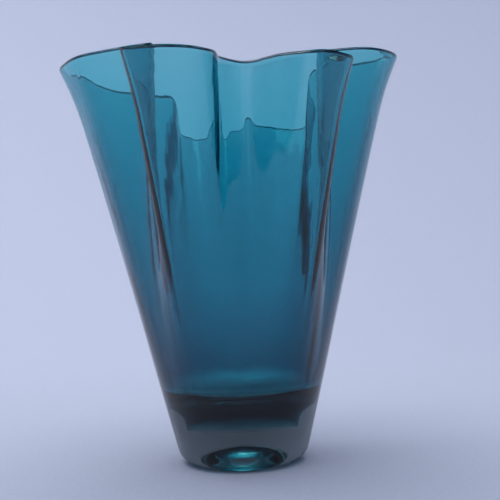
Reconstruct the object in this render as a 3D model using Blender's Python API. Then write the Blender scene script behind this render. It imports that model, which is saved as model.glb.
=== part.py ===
"""Handkerchief vase: one blown bubble of cased glass with a thick polished base and a rim folded into six petals.

The vase stands at the origin on the flat ground ring of its foot, with +Z up and its front petals towards -Y.
Lengths are in metres and angles in degrees.
"""
import math

import bmesh
import bpy
from mathutils import Vector

# Foot and heel: the ground flat it stands on, the round above it, and the polished hollow under it
FOOT_RADIUS = 0.0295
HEEL_RADIUS = 0.0410
HEEL_HEIGHT = 0.009
HOLLOW_RADIUS = 0.0215
HOLLOW_HEIGHT = 0.0156

# Body: the height of an unfolded rim, the radius such a rim would have, and the outward flick of its lip
RIM_HEIGHT = 0.2306
RIM_RADIUS = 0.0985
LIP_FLARE = 0.0035
FLARE_START_SHARE = 0.85

# Folds: how far the largest petal reaches from the axis, how high the right petal rises over the rim height,
# where the folds begin as a part of the height, and how slowly they grow
PETAL_REACH = 0.115
PETAL_RISE = 0.020
FOLD_START_SHARE = 0.13
FOLD_GROWTH = 1.45

# Wall: how thick it is above the well, at its middle and at the lip, with the middle as a part of the height
WALL_LOW = 0.0120
WALL_MID = 0.0055
WALL_LIP = 0.0030
WALL_TURN_SHARE = 0.5
WALL_FALL = 1.5

# Well: the bottom of the inside, and the height on the outside where its bowl has run into the wall
WELL_FLOOR = 0.036
WELL_TOP = 0.047

# Folded rim, seen from above: azimuth from the front towards the right, share of the petals' reach,
# and share of the petals' rise
RIM_STATIONS = (
    # front left petal
    (-30.5, 0.859, 0.150),
    (-28.1, 0.962, -0.050),
    (-14.8, 1.000, -0.250),
    (-8.9, 0.956, -0.250),
    (-5.5, 0.886, -0.200),
    # front fold
    (-3.2, 0.791, -0.100),
    (-3.0, 0.673, 0.000),
    (9.0, 0.531, 0.100),
    (18.8, 0.701, 0.000),
    # front right petal
    (23.3, 0.896, -0.250),
    (27.5, 0.927, -0.250),
    (33.8, 0.920, -0.250),
    (39.8, 0.885, -0.200),
    (45.0, 0.748, 0.000),
    # fold between the front right and right petals
    (52.5, 0.590, 0.600),
    # right petal
    (62.2, 0.683, 0.750),
    (67.8, 0.756, 0.800),
    (76.0, 0.830, 0.850),
    (90.0, 0.901, 1.000),
    (98.9, 0.870, 1.100),
    # fold between the right and back right petals
    (110.0, 0.470, 0.700),
    # back right petal
    (130.0, 0.704, -0.100),
    (148.0, 0.861, -0.350),
    (162.0, 0.800, -0.300),
    # back fold
    (171.5, 0.565, -0.150),
    # back left petal
    (184.0, 0.783, -0.350),
    (192.0, 0.990, -0.450),
    (206.0, 0.896, -0.350),
    # fold between the back left and left petals
    (222.0, 0.539, -0.050),
    (248.0, 0.417, 0.150),
    # left petal
    (256.0, 0.722, 0.500),
    (273.2, 0.902, 0.800),
    (285.1, 0.871, 0.750),
    (296.7, 0.824, 0.700),
    (305.6, 0.750, 0.700),
    # fold between the left and front left petals
    (317.6, 0.654, 0.750),
    (327.2, 0.679, 0.600),
)

# Fineness of the surface
RIBS = 104
BODY_RINGS = 19
INSIDE_RINGS = 17
HOLLOW_RINGS = 5
HEEL_RINGS = 4
WELL_RINGS = 4
LIP_RINGS = 3
NORMAL_STEP_SHARE = 0.01

# Colour of the glass
GLASS_COLOUR = (0.015, 0.30, 0.40, 1.0)


def clear_scene():
    for item in list(bpy.data.objects):
        bpy.data.objects.remove(item, do_unlink=True)
    for mesh in list(bpy.data.meshes):
        bpy.data.meshes.remove(mesh)


def station_points():
    points = []
    for azimuth, reach_share, rise_share in RIM_STATIONS:
        angle = math.radians(azimuth)
        reach = PETAL_REACH * reach_share
        rise = PETAL_RISE * rise_share
        points.append(Vector((reach * math.sin(angle), -reach * math.cos(angle), rise)))
    return points


def rim_curve(samples_per_span=12):
    """The folded rim as a smooth closed curve through its stations."""
    points = station_points()
    count = len(points)
    curve = []
    for index in range(count):
        p0, p1, p2, p3 = (points[(index + k - 1) % count] for k in range(4))
        gaps = [max((b - a).length, 1e-6) ** 0.5 for a, b in ((p0, p1), (p1, p2), (p2, p3))]
        leave = (p1 - p0) / gaps[0] - (p2 - p0) / (gaps[0] + gaps[1]) + (p2 - p1) / gaps[1]
        arrive = (p2 - p1) / gaps[1] - (p3 - p1) / (gaps[1] + gaps[2]) + (p3 - p2) / gaps[2]
        leave = leave * gaps[1]
        arrive = arrive * gaps[1]
        for step in range(samples_per_span):
            s = step / samples_per_span
            curve.append(
                p1 * (2 * s**3 - 3 * s**2 + 1)
                + leave * (s**3 - 2 * s**2 + s)
                + p2 * (3 * s**2 - 2 * s**3)
                + arrive * (s**3 - s**2)
            )
    return curve


def ribs_on_rim(count):
    """Points evenly spaced along the folded rim, starting from the one nearest the front."""
    curve = rim_curve()
    total = len(curve)
    lengths = [0.0]
    for index in range(total):
        lengths.append(lengths[-1] + (curve[(index + 1) % total] - curve[index]).length)
    ribs = []
    place = 0
    for rib in range(count):
        target = lengths[-1] * rib / count
        while lengths[place + 1] < target:
            place += 1
        part = (target - lengths[place]) / max(lengths[place + 1] - lengths[place], 1e-9)
        ribs.append(curve[place % total].lerp(curve[(place + 1) % total], part))
    return ribs


def start_azimuth(ribs):
    """Azimuth of the first rib low on the body, where the ribs stand evenly round the circle."""
    count = len(ribs)
    x = 0.0
    y = 0.0
    for index, rib in enumerate(ribs):
        turn = math.atan2(rib.x, -rib.y) - 2 * math.pi * index / count
        x += math.cos(turn)
        y += math.sin(turn)
    return math.atan2(y, x)


def body_radius(part):
    """Radius of the unfolded body; part runs from 0 at the top of the heel to 1 at the rim."""
    return HEEL_RADIUS + (RIM_RADIUS - HEEL_RADIUS) * part


def fold_weight(part):
    grown = max(0.0, (part - FOLD_START_SHARE) / (1.0 - FOLD_START_SHARE))
    return grown**FOLD_GROWTH


def outer_point(rib, circle, part):
    """A point on the outside of the glass on one rib, at a part of the height from heel to rim."""
    radius = body_radius(part)
    weight = fold_weight(part)
    flare = LIP_FLARE * max(0.0, (part - FLARE_START_SHARE) / (1.0 - FLARE_START_SHARE)) ** 2
    scale = radius / RIM_RADIUS
    out = Vector((rib.x, rib.y, 0.0))
    folded = out * scale
    x = circle[0] * radius * (1 - weight) + folded.x * weight
    y = circle[1] * radius * (1 - weight) + folded.y * weight
    spread = 1.0 + flare / RIM_RADIUS
    z = HEEL_HEIGHT + (RIM_HEIGHT - HEEL_HEIGHT) * part + rib.z * weight
    return Vector((x * spread, y * spread, z))


def wall_thickness(part):
    low = max(0.0, 1.0 - part / WALL_TURN_SHARE) ** WALL_FALL
    high = max(0.0, (part - WALL_TURN_SHARE) / (1.0 - WALL_TURN_SHARE))
    return WALL_MID + (WALL_LOW - WALL_MID) * low + (WALL_LIP - WALL_MID) * high


def outside_ring(ribs, circle, part):
    return [outer_point(rib, c, part) for rib, c in zip(ribs, circle)]


def inside_ring(ribs, circle, part):
    """A ring of the inside, one wall thickness in from the outside and square to it."""
    outside = outside_ring(ribs, circle, part)
    above = outside_ring(ribs, circle, min(part + NORMAL_STEP_SHARE, 1.0))
    below = outside_ring(ribs, circle, max(part - NORMAL_STEP_SHARE, 0.0))
    thick = wall_thickness(part)
    ring = []
    for index in range(len(outside)):
        along = outside[(index + 1) % len(outside)] - outside[index - 1]
        normal = along.cross(above[index] - below[index]).normalized()
        ring.append(outside[index] - normal * thick)
    return ring


def flat_ring(circle, radius, height):
    return [Vector((c[0] * radius, c[1] * radius, height)) for c in circle]


def hollow_rings(circle):
    """The domed hollow, from just beside its top down to its edge on the foot."""
    rings = []
    for step in range(1, HOLLOW_RINGS + 1):
        angle = math.pi / 2 * step / HOLLOW_RINGS
        rings.append(flat_ring(circle, HOLLOW_RADIUS * math.sin(angle), HOLLOW_HEIGHT * math.cos(angle)))
    return rings


def heel_rings(circle):
    """The round from the edge of the foot up to the body, which it meets without a crease."""
    lean = math.atan2(RIM_RADIUS - HEEL_RADIUS, RIM_HEIGHT - HEEL_HEIGHT)
    rings = []
    for step in range(HEEL_RINGS + 1):
        angle = math.pi / 2 + (lean - math.pi / 2) * step / (HEEL_RINGS + 1)
        across = math.cos(angle) / math.cos(lean)
        up = (1 - math.sin(angle)) / (1 - math.sin(lean))
        radius = FOOT_RADIUS + (HEEL_RADIUS - FOOT_RADIUS) * across
        rings.append(flat_ring(circle, radius, HEEL_HEIGHT * up))
    return rings


def make_rings():
    """Rings of points from the foot, up the outside, over the lip and down the inside to the well."""
    ribs = ribs_on_rim(RIBS)
    first = start_azimuth(ribs)
    circle = []
    for index in range(RIBS):
        angle = first + 2 * math.pi * index / RIBS
        circle.append((math.sin(angle), -math.cos(angle)))
    rings = hollow_rings(circle) + heel_rings(circle)

    for step in range(BODY_RINGS + 1):
        rings.append(outside_ring(ribs, circle, step / BODY_RINGS))
    top = rings[-1]
    below = rings[-2]

    well_part = (WELL_TOP - HEEL_HEIGHT) / (RIM_HEIGHT - HEEL_HEIGHT)
    inside = []
    for step in range(INSIDE_RINGS + 1):
        inside.append(inside_ring(ribs, circle, well_part + (1 - well_part) * step / INSIDE_RINGS))
    top_inside = inside[-1]
    for step in range(1, LIP_RINGS + 1):
        angle = math.pi * step / (LIP_RINGS + 1)
        ring = []
        for index in range(RIBS):
            middle = (top[index] + top_inside[index]) / 2
            side = (top[index] - top_inside[index]) / 2
            rise = (top[index] - below[index]).normalized() * side.length
            ring.append(middle + side * math.cos(angle) + rise * math.sin(angle))
        rings.append(ring)

    rings.extend(reversed(inside))
    edge = inside[0]
    for step in range(1, WELL_RINGS + 1):
        angle = math.pi / 2 * step / (WELL_RINGS + 1)
        ring = []
        for point in edge:
            spread = math.cos(angle)
            height = WELL_FLOOR + (point.z - WELL_FLOOR) * (1 - math.sin(angle))
            ring.append(Vector((point.x * spread, point.y * spread, height)))
        rings.append(ring)
    return rings


def build_vase():
    rings = make_rings()
    mesh = bpy.data.meshes.new("vase")
    model = bmesh.new()
    rows = [[model.verts.new(point) for point in ring] for ring in rings]
    for lower, upper in zip(rows, rows[1:]):
        for index in range(RIBS):
            after = (index + 1) % RIBS
            model.faces.new((lower[index], lower[after], upper[after], upper[index]))
    dome = model.verts.new((0.0, 0.0, HOLLOW_HEIGHT))
    well = model.verts.new((0.0, 0.0, WELL_FLOOR))
    for index in range(RIBS):
        after = (index + 1) % RIBS
        model.faces.new((rows[0][after], rows[0][index], dome))
        model.faces.new((rows[-1][index], rows[-1][after], well))
    bmesh.ops.recalc_face_normals(model, faces=model.faces)
    bmesh.ops.triangulate(model, faces=model.faces)
    model.to_mesh(mesh)
    model.free()
    for face in mesh.polygons:
        face.use_smooth = True
    vase = bpy.data.objects.new("vase", mesh)
    bpy.context.scene.collection.objects.link(vase)
    return vase


def paint(vase):
    glass = bpy.data.materials.new("teal cased glass")
    glass.use_nodes = True
    shader = glass.node_tree.nodes["Principled BSDF"]
    shader.inputs["Base Color"].default_value = GLASS_COLOUR
    shader.inputs["Roughness"].default_value = 0.02
    shader.inputs["IOR"].default_value = 1.5
    shader.inputs["Transmission Weight"].default_value = 0.9
    glass.diffuse_color = GLASS_COLOUR
    vase.data.materials.append(glass)


clear_scene()
paint(build_vase())
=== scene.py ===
import math

import bmesh
import bpy
from mathutils import Matrix, Vector


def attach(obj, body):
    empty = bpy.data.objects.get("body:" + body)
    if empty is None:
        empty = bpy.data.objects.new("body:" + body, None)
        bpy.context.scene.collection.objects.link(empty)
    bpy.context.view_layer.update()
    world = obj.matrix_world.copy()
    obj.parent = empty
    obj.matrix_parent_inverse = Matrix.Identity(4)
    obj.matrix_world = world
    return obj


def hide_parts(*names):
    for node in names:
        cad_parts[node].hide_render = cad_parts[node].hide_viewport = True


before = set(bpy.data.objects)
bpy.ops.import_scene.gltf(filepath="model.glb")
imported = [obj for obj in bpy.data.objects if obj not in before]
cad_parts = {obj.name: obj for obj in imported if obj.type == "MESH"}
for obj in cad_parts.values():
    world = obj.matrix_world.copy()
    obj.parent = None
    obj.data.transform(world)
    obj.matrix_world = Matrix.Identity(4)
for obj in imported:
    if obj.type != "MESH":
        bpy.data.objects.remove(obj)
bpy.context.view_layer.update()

# The glass body. It is one gather of clear glass over teal, blown into a tall cone on a thick foot.
# While it is soft, its rim is pushed in and drawn out by hand into six petals, which fade out below.
# The foot is ground flat and polished, with a round hollow under it.
foot_radius = 0.0295
heel_radius = 0.0410
heel_height = 0.009
hollow_radius = 0.0215
hollow_height = 0.0156
rim_height = 0.2306
rim_radius = 0.0985
lip_flare = 0.0035
flare_start = 0.85
fold_start = 0.13
fold_growth = 1.45
wall_low = 0.0120
wall_mid = 0.0055
wall_lip = 0.0030
wall_turn = 0.5
wall_fall = 1.5
well_floor = 0.036
well_top = 0.047
petal_reach = 0.115
ribs = 260
levels = 96
curve_steps = 24
hollow_rings = 20
ground_rings = 3
heel_rings = 16
lip_rings = 7
bowl_rings = 14

# azimuth from the front towards the right in degrees, share of the petals' reach, rise over the rim's height
rim_petals = [
    # front left petal
    (-30.5, 0.859, 0.003),
    (-28.1, 0.962, -0.001),
    (-14.8, 1.000, -0.005),
    (-8.9, 0.956, -0.005),
    (-5.5, 0.886, -0.004),
    # front fold
    (-3.2, 0.791, -0.002),
    (-3.0, 0.673, 0.000),
    (9.0, 0.531, 0.002),
    (18.8, 0.701, 0.000),
    # front right petal
    (23.3, 0.896, -0.005),
    (27.5, 0.927, -0.005),
    (33.8, 0.920, -0.005),
    (39.8, 0.885, -0.004),
    (45.0, 0.748, 0.000),
    # fold between the front right and right petals
    (52.5, 0.590, 0.012),
    # right petal
    (62.2, 0.683, 0.015),
    (67.8, 0.756, 0.016),
    (76.0, 0.830, 0.017),
    (90.0, 0.901, 0.020),
    (98.9, 0.870, 0.022),
    # fold between the right and back right petals
    (110.0, 0.470, 0.014),
    # back right petal
    (130.0, 0.704, -0.002),
    (148.0, 0.861, -0.007),
    (162.0, 0.800, -0.006),
    # back fold
    (171.5, 0.565, -0.003),
    # back left petal
    (184.0, 0.783, -0.007),
    (192.0, 0.990, -0.009),
    (206.0, 0.896, -0.007),
    # fold between the back left and left petals
    (222.0, 0.539, -0.001),
    (248.0, 0.417, 0.003),
    # left petal
    (256.0, 0.722, 0.010),
    (273.2, 0.902, 0.016),
    (285.1, 0.871, 0.015),
    (296.7, 0.824, 0.014),
    (305.6, 0.750, 0.014),
    # fold between the left and front left petals
    (317.6, 0.654, 0.015),
    (327.2, 0.679, 0.012),
]


def smooth_rim(steps):
    """The folded rim: a closed smooth curve through the petals' points, cut into even lengths."""
    points = []
    for azimuth, share, rise in rim_petals:
        turn = math.radians(azimuth)
        reach = petal_reach * share
        points.append(Vector((reach * math.sin(turn), -reach * math.cos(turn), rise)))
    count = len(points)
    curve = []
    for k in range(count):
        a, b, c, d = (points[(k + n - 1) % count] for n in range(4))
        ab, bc, cd = ((q - p).length**0.5 for p, q in ((a, b), (b, c), (c, d)))
        leave = ((b - a) / ab - (c - a) / (ab + bc) + (c - b) / bc) * bc
        arrive = ((c - b) / bc - (d - b) / (bc + cd) + (d - c) / cd) * bc
        for n in range(curve_steps):
            s = n / curve_steps
            curve.append(b * (2 * s**3 - 3 * s**2 + 1) + leave * (s**3 - 2 * s**2 + s)
                         + c * (3 * s**2 - 2 * s**3) + arrive * (s**3 - s**2))
    run = [0.0]
    for k in range(len(curve)):
        run.append(run[-1] + (curve[(k + 1) % len(curve)] - curve[k]).length)
    even = []
    k = 0
    for n in range(steps):
        want = run[-1] * n / steps
        while run[k + 1] < want:
            k += 1
        even.append(curve[k].lerp(curve[(k + 1) % len(curve)], (want - run[k]) / (run[k + 1] - run[k])))
    return even


rim = smooth_rim(ribs)
turn_x = sum(math.cos(math.atan2(p.x, -p.y) - 2 * math.pi * n / ribs) for n, p in enumerate(rim))
turn_y = sum(math.sin(math.atan2(p.x, -p.y) - 2 * math.pi * n / ribs) for n, p in enumerate(rim))
first = math.atan2(turn_y, turn_x)
round_foot = [Vector((math.sin(first + 2 * math.pi * n / ribs), -math.cos(first + 2 * math.pi * n / ribs), 0))
              for n in range(ribs)]


def outside(part):
    """A ring of the outer surface. part runs from 0 at the top of the heel to 1 at the rim."""
    radius = heel_radius + (rim_radius - heel_radius) * part
    fold = max(0.0, (part - fold_start) / (1 - fold_start)) ** fold_growth
    spread = 1 + lip_flare / rim_radius * max(0.0, (part - flare_start) / (1 - flare_start)) ** 2
    ring = []
    for low, top in zip(round_foot, rim):
        spot = low * radius * (1 - fold) + Vector((top.x, top.y, 0)) * radius / rim_radius * fold
        height = heel_height + (rim_height - heel_height) * part + top.z * fold
        ring.append(Vector((spot.x * spread, spot.y * spread, height)))
    return ring


def inward(part, depth):
    """The ring that lies this deep under the outer surface, square to it."""
    ring = outside(part)
    step = 0.004
    over = outside(min(1.0, part + step))
    under = outside(max(0.0, part - step))
    moved = []
    for n, spot in enumerate(ring):
        along = ring[(n + 1) % ribs] - ring[n - 1]
        out = along.cross(over[n] - under[n]).normalized()
        moved.append(spot - out * depth)
    return moved


def wall(part):
    low = max(0.0, 1 - part / wall_turn) ** wall_fall
    high = max(0.0, (part - wall_turn) / (1 - wall_turn))
    return wall_mid + (wall_low - wall_mid) * low + (wall_lip - wall_mid) * high


def level(z):
    return (z - heel_height) / (rim_height - heel_height)


def lip(outer, inner, below, turns):
    """Rings over a round lip, from its outer edge to its inner one."""
    rows = []
    for n in range(1, turns + 1):
        turn = math.pi * n / (turns + 1)
        row = []
        for a, b, c in zip(outer, inner, below):
            side = (a - b) / 2
            row.append((a + b) / 2 + side * math.cos(turn) + (a - c).normalized() * side.length * math.sin(turn))
        rows.append(row)
    return rows


def bowl(edge, floor, turns):
    """Rings from the foot of the inner wall round to the middle of a bowl."""
    rows = []
    for n in range(1, turns + 1):
        turn = math.pi / 2 * n / (turns + 1)
        reach = math.cos(turn)
        rows.append([Vector((p.x * reach, p.y * reach, floor + (p.z - floor) * (1 - math.sin(turn)))) for p in edge])
    return rows


def glass_mesh(name, rows, low, high):
    """A closed skin over rings, which ends in a middle point at both ends."""
    skin = bmesh.new()
    grid = [[skin.verts.new(p) for p in row] for row in rows]
    for a, b in zip(grid, grid[1:]):
        for n in range(ribs):
            m = (n + 1) % ribs
            skin.faces.new((a[n], a[m], b[m], b[n]))
    bottom = skin.verts.new(low)
    top = skin.verts.new(high)
    for n in range(ribs):
        m = (n + 1) % ribs
        skin.faces.new((grid[0][m], grid[0][n], bottom))
        skin.faces.new((grid[-1][n], grid[-1][m], top))
    bmesh.ops.recalc_face_normals(skin, faces=skin.faces)
    mesh = bpy.data.meshes.new(name)
    skin.to_mesh(mesh)
    skin.free()
    mesh.shade_smooth()
    piece = bpy.data.objects.new(name, mesh)
    bpy.context.scene.collection.objects.link(piece)
    return piece


heights = [n / levels for n in range(levels + 1)]
body_rows = []
for n in range(1, hollow_rings + 1):
    turn = math.pi / 2 * n / hollow_rings
    body_rows.append([Vector((p.x * hollow_radius * math.sin(turn), p.y * hollow_radius * math.sin(turn),
                              hollow_height * math.cos(turn))) for p in round_foot])
for n in range(1, ground_rings + 1):
    body_rows.append([p * (hollow_radius + (foot_radius - hollow_radius) * n / ground_rings) for p in round_foot])
lean = math.atan2(rim_radius - heel_radius, rim_height - heel_height)
for n in range(1, heel_rings + 1):
    turn = lean + (math.pi / 2 - lean) * (1 - n / (heel_rings + 1))
    across = math.cos(turn) / math.cos(lean)
    up = (1 - math.sin(turn)) / (1 - math.sin(lean))
    reach = foot_radius + (heel_radius - foot_radius) * across
    body_rows.append([Vector((p.x * reach, p.y * reach, heel_height * up)) for p in round_foot])
body_rows += [outside(part) for part in heights]
inner_top = inward(1.0, wall_lip)
body_rows += lip(body_rows[-1], inner_top, body_rows[-2], lip_rings)
inner_heights = [level(well_top) + (1 - level(well_top)) * n / levels for n in range(levels + 1)]
inner_rows = [inward(part, wall(part)) for part in reversed(inner_heights)]
body_rows += inner_rows
body_rows += bowl(inner_rows[-1], well_floor, bowl_rings)
body = glass_mesh("glass_body", body_rows, (0, 0, hollow_height), (0, 0, well_floor))

clear = bpy.data.materials.new("clear_casing")
clear.use_nodes = True
skin = clear.node_tree.nodes["Principled BSDF"]
skin.inputs["Base Color"].default_value = (1, 1, 1, 1)
skin.inputs["Roughness"].default_value = 0.0
skin.inputs["IOR"].default_value = 1.5
skin.inputs["Transmission Weight"].default_value = 1.0
nodes = clear.node_tree.nodes
links = clear.node_tree.links
# a grey absorption through the clear glass, which darkens it most where it is thickest, in the foot: painted shade
foot_shade_absorption = nodes.new("ShaderNodeVolumeAbsorption")
foot_shade_absorption.inputs["Color"].default_value = (0.36, 0.42, 0.44, 1)
foot_shade_absorption.inputs["Density"].default_value = 50.0
links.new(foot_shade_absorption.outputs["Volume"], nodes["Material Output"].inputs["Volume"])
# faint ripples, which run up the wall as the hot glass was drawn
place = nodes.new("ShaderNodeTexCoord")
stretch = nodes.new("ShaderNodeMapping")
stretch.inputs["Scale"].default_value = (1, 1, 0.15)
ripple = nodes.new("ShaderNodeTexNoise")
ripple.inputs["Scale"].default_value = 110.0
ripple.inputs["Detail"].default_value = 1.5
dent = nodes.new("ShaderNodeBump")
dent.inputs["Strength"].default_value = 0.35
dent.inputs["Distance"].default_value = 0.0005
links.new(place.outputs["Object"], stretch.inputs["Vector"])
links.new(stretch.outputs["Vector"], ripple.inputs["Vector"])
links.new(ripple.outputs["Fac"], dent.inputs["Height"])
links.new(dent.outputs["Normal"], skin.inputs["Normal"])
body.data.materials.append(clear)
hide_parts("vase")
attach(body, "root")

# The teal layer. It is the first, coloured gather, buried under the clear one and fused with it.
# It lines the wall right up to the lip, and ends low down in a short plug over the clear foot.
plug_profile = [(0.0241, 0.0224), (0.0340, 0.0254), (0.0400, 0.0340), (0.0455, 0.0430)]
teal_shoulder = 0.050
plug_dome = 0.0330
plug_square = 0.5
teal_low = 0.0110
teal_mid = 0.0047
teal_lip = 0.0025
bead_start = 0.985
bead_length = 0.008
bead_casing = 0.00035
inner_gap = 0.00015
teal_top = 0.998
teal_lip_rings = 3
plug_rings = 16
side_rings = 8


def casing(part):
    """Depth of clear glass over the teal, which is thin up the wall and swells into a dark bead in the lip."""
    low = max(0.0, 1 - part / wall_turn) ** wall_fall
    high = max(0.0, (part - wall_turn) / (1 - wall_turn))
    depth = wall(part) - teal_mid - (teal_low - teal_mid) * low - (teal_lip - teal_mid) * high
    bead = min(1.0, max(0.0, (part - bead_start) / bead_length))
    return depth + (bead_casing - depth) * bead


plug_foot, plug_radius = plug_profile[0]
teal_rows = []
for n in range(1, plug_rings + 1):
    turn = math.pi / 2 * n / plug_rings
    reach = plug_radius * math.sin(turn) ** plug_square
    height = plug_foot + (plug_dome - plug_foot) * math.cos(turn)
    teal_rows.append([Vector((p.x * reach, p.y * reach, height)) for p in round_foot])
shoulder = inward(level(teal_shoulder), casing(level(teal_shoulder)))
shoulder_radius = sum(math.hypot(q.x, q.y) for q in shoulder) / ribs
profile = plug_profile + [(teal_shoulder, shoulder_radius)]
slopes = []
for k in range(len(profile)):
    a = profile[max(k - 1, 0)]
    b = profile[min(k + 1, len(profile) - 1)]
    slopes.append((b[1] - a[1]) / (b[0] - a[0]))
for k in range(len(profile) - 1):
    (z0, r0), (z1, r1) = profile[k], profile[k + 1]
    for n in range(1, side_rings + 1):
        s = n / side_rings
        if k == len(profile) - 2 and n == side_rings:
            break
        z = z0 + (z1 - z0) * s
        r = (r0 * (2 * s**3 - 3 * s**2 + 1) + slopes[k] * (z1 - z0) * (s**3 - 2 * s**2 + s)
             + r1 * (3 * s**2 - 2 * s**3) + slopes[k + 1] * (z1 - z0) * (s**3 - s**2))
        share = ((z - plug_foot) / (teal_shoulder - plug_foot)) ** 2
        row = []
        for p, q in zip(round_foot, shoulder):
            reach = r * (1 + (math.hypot(q.x, q.y) / shoulder_radius - 1) * share)
            row.append(Vector((p.x * reach, p.y * reach, z + (q.z - teal_shoulder) * share)))
        teal_rows.append(row)
teal_rows += [inward(part, casing(part)) for part in heights if level(teal_shoulder) < part < teal_top]
teal_outer_top = inward(teal_top, casing(teal_top))
teal_rows.append(teal_outer_top)
teal_inner_top = inward(teal_top, wall(teal_top) - inner_gap)
teal_rows += lip(teal_outer_top, teal_inner_top, teal_rows[-2], teal_lip_rings)
teal_inner = [inward(part, wall(part) - inner_gap) for part in reversed(inner_heights) if part < teal_top]
teal_rows += teal_inner
teal_rows += bowl(teal_inner[-1], well_floor - inner_gap, bowl_rings)
teal = glass_mesh("teal_layer", teal_rows, (0, 0, plug_dome), (0, 0, well_floor - inner_gap))

stain = bpy.data.materials.new("teal_glass")
stain.use_nodes = True
nodes = stain.node_tree.nodes
skin = nodes["Principled BSDF"]
skin.inputs["Base Color"].default_value = (1, 1, 1, 1)
skin.inputs["Roughness"].default_value = 0.0
skin.inputs["IOR"].default_value = 1.0
skin.inputs["Transmission Weight"].default_value = 1.0
tint = nodes.new("ShaderNodeVolumeAbsorption")
tint.inputs["Color"].default_value = (0.0, 0.785, 0.838, 1)
tint.inputs["Density"].default_value = 630.0
stain.node_tree.links.new(tint.outputs["Volume"], nodes["Material Output"].inputs["Volume"])
teal.data.materials.append(stain)
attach(teal, "root")

# The dark line of the lip. A thin ring of teal glass, made so dense that it looks nearly black, is fused into the
# top of the lip all round.
# It keeps the teal's hue, but its near-black depth is painted shade, standing in for the dark line that the light
# gives the rim.
bead_radius = 0.0009
bead_rise = 0.0009
bead_sides = 8
below_lip = 0.98
top_outer = inward(1.0, 0)
top_inner = inward(1.0, wall_lip)
lower_ring = inward(below_lip, wall(below_lip) / 2)
skin = bmesh.new()
grid = []
for n in range(ribs):
    middle = (top_outer[n] + top_inner[n]) / 2
    out = (top_outer[n] - top_inner[n]).normalized()
    up = (middle - lower_ring[n]).normalized()
    middle = middle + up * bead_rise
    grid.append([skin.verts.new(middle + (out * math.cos(2 * math.pi * m / bead_sides)
                                          + up * math.sin(2 * math.pi * m / bead_sides)) * bead_radius)
                 for m in range(bead_sides)])
for n in range(ribs):
    for m in range(bead_sides):
        a = grid[n]
        b = grid[(n + 1) % ribs]
        skin.faces.new((a[m], a[(m + 1) % bead_sides], b[(m + 1) % bead_sides], b[m]))
bmesh.ops.recalc_face_normals(skin, faces=skin.faces)
mesh = bpy.data.meshes.new("painted_dark_lip_line")
skin.to_mesh(mesh)
skin.free()
mesh.shade_smooth()
dark_lip_line = bpy.data.objects.new("painted_dark_lip_line", mesh)
bpy.context.scene.collection.objects.link(dark_lip_line)
# the ring's glass: the teal at over twelve times its density, nearly black, as painted shade along the lip
lip_shade_glass = stain.copy()
lip_shade_glass.name = "painted_shade_lip_glass"
lip_shade_glass.node_tree.nodes["Volume Absorption"].inputs["Density"].default_value = 8000.0
mesh.materials.append(lip_shade_glass)
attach(dark_lip_line, "root")

# The floor and backdrop. One sheet of pale lavender-grey paper lies flat under the vase and
# rises all round in a wide cove, so that the glass has the same pale ground behind it from every side.
flat_radius = 0.8
cove_radius = 1.4
stage_top = 3.0
flat_steps = 6
cove_steps = 24
sweep_sides = 96
paper = bmesh.new()
rows = []
outline = [(flat_radius * n / flat_steps, 0) for n in range(1, flat_steps + 1)]
for n in range(1, cove_steps + 1):
    turn = math.pi / 2 * n / cove_steps
    outline.append((flat_radius + cove_radius * math.sin(turn), cove_radius * (1 - math.cos(turn))))
outline.append((flat_radius + cove_radius, stage_top))
for radius, z in outline:
    turns = [2 * math.pi * n / sweep_sides for n in range(sweep_sides)]
    rows.append([paper.verts.new((radius * math.cos(turn), radius * math.sin(turn), z)) for turn in turns])
for a, b in zip(rows, rows[1:]):
    for n in range(sweep_sides):
        m = (n + 1) % sweep_sides
        paper.faces.new((a[n], a[m], b[m], b[n]))
middle = paper.verts.new((0, 0, 0))
for n in range(sweep_sides):
    paper.faces.new((middle, rows[0][n], rows[0][(n + 1) % sweep_sides]))
bmesh.ops.recalc_face_normals(paper, faces=paper.faces)
mesh = bpy.data.meshes.new("paper_sweep")
paper.to_mesh(mesh)
paper.free()
mesh.shade_smooth()
sweep = bpy.data.objects.new("paper_sweep", mesh)
bpy.context.scene.collection.objects.link(sweep)
ground = bpy.data.materials.new("pale_paper")
ground.use_nodes = True
nodes = ground.node_tree.nodes
links = ground.node_tree.links
skin = nodes["Principled BSDF"]
skin.inputs["Roughness"].default_value = 0.9
skin.inputs["Specular IOR Level"].default_value = 0.0
place = nodes.new("ShaderNodeTexCoord")
grain = nodes.new("ShaderNodeTexNoise")
grain.inputs["Scale"].default_value = 420.0
grain.inputs["Detail"].default_value = 4.0
tone = nodes.new("ShaderNodeMix")
tone.data_type = "RGBA"
tone.inputs["A"].default_value = (0.405, 0.445, 0.555, 1)
tone.inputs["B"].default_value = (0.515, 0.545, 0.650, 1)
dent = nodes.new("ShaderNodeBump")
dent.inputs["Strength"].default_value = 0.3
dent.inputs["Distance"].default_value = 0.0005
links.new(place.outputs["Object"], grain.inputs["Vector"])
links.new(grain.outputs["Fac"], tone.inputs["Factor"])
links.new(tone.outputs["Result"], skin.inputs["Base Color"])
links.new(grain.outputs["Fac"], dent.inputs["Height"])
links.new(dent.outputs["Normal"], skin.inputs["Normal"])
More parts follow.
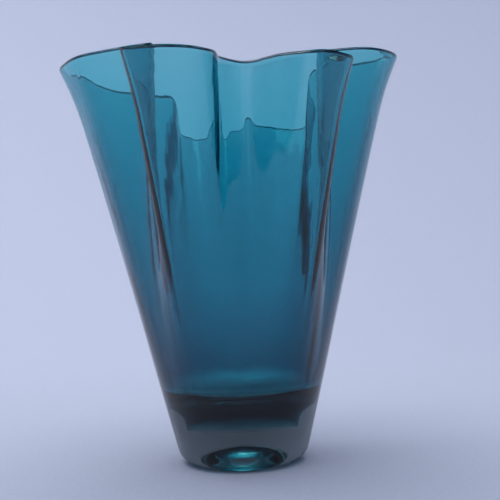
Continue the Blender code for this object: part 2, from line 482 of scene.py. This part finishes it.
mesh.materials.append(ground)


# The lamps. One wide soft panel hangs over the vase, a little to the left, and a small one behind the vase
# lifts the backdrop. An even, dim room fills the rest.
def panel(name, spot, aim, width, height, watts):
    lamp = bpy.data.lights.new(name, "AREA")
    lamp.shape = "RECTANGLE"
    lamp.size = width
    lamp.size_y = height
    lamp.energy = watts
    light = bpy.data.objects.new(name, lamp)
    light.location = spot
    light.rotation_euler = (Vector(aim) - Vector(spot)).to_track_quat("-Z", "Y").to_euler()
    bpy.context.scene.collection.objects.link(light)


panel("top_panel", (-0.35, 0.1, 2.2), (-0.35, 0.1, 0), 3.0, 3.0, 49)
panel("back_panel", (-0.5, 0.5, 1.6), (-0.5, 2.0, 0.4), 1.4, 0.6, 8)
world = bpy.data.worlds.new("soft_room")
world.use_nodes = True
world.node_tree.nodes["Background"].inputs["Color"].default_value = (0.75, 0.78, 0.9, 1)
world.node_tree.nodes["Background"].inputs["Strength"].default_value = 0.5
bpy.context.scene.world = world

# The camera. It looks nearly level from the front, a little under half the vase's height, and leans very
# slightly to one side, as the photograph does.
eye = Vector((0.00836, -0.47653, 0.10769))
tilt = math.radians(2.8)
roll = math.radians(-2.1)
ahead = Vector((0, math.cos(tilt), math.sin(tilt)))
right = Vector((1, 0, 0))
above = right.cross(ahead)
side = right * math.cos(roll) + above * math.sin(roll)
above = above * math.cos(roll) - right * math.sin(roll)
lens = bpy.data.cameras.new("camera")
lens.sensor_width = 36
lens.lens = 54
lens.clip_start = 0.01
camera = bpy.data.objects.new("camera", lens)
camera.matrix_world = Matrix(((side.x, above.x, -ahead.x, eye.x), (side.y, above.y, -ahead.y, eye.y),
                              (side.z, above.z, -ahead.z, eye.z), (0, 0, 0, 1)))
bpy.context.scene.collection.objects.link(camera)
bpy.context.scene.camera = camera

scene = bpy.context.scene
scene.view_settings.view_transform = "Standard"
scene.cycles.max_bounces = 32
scene.cycles.transmission_bounces = 32
scene.cycles.glossy_bounces = 8
scene.cycles.transparent_max_bounces = 32
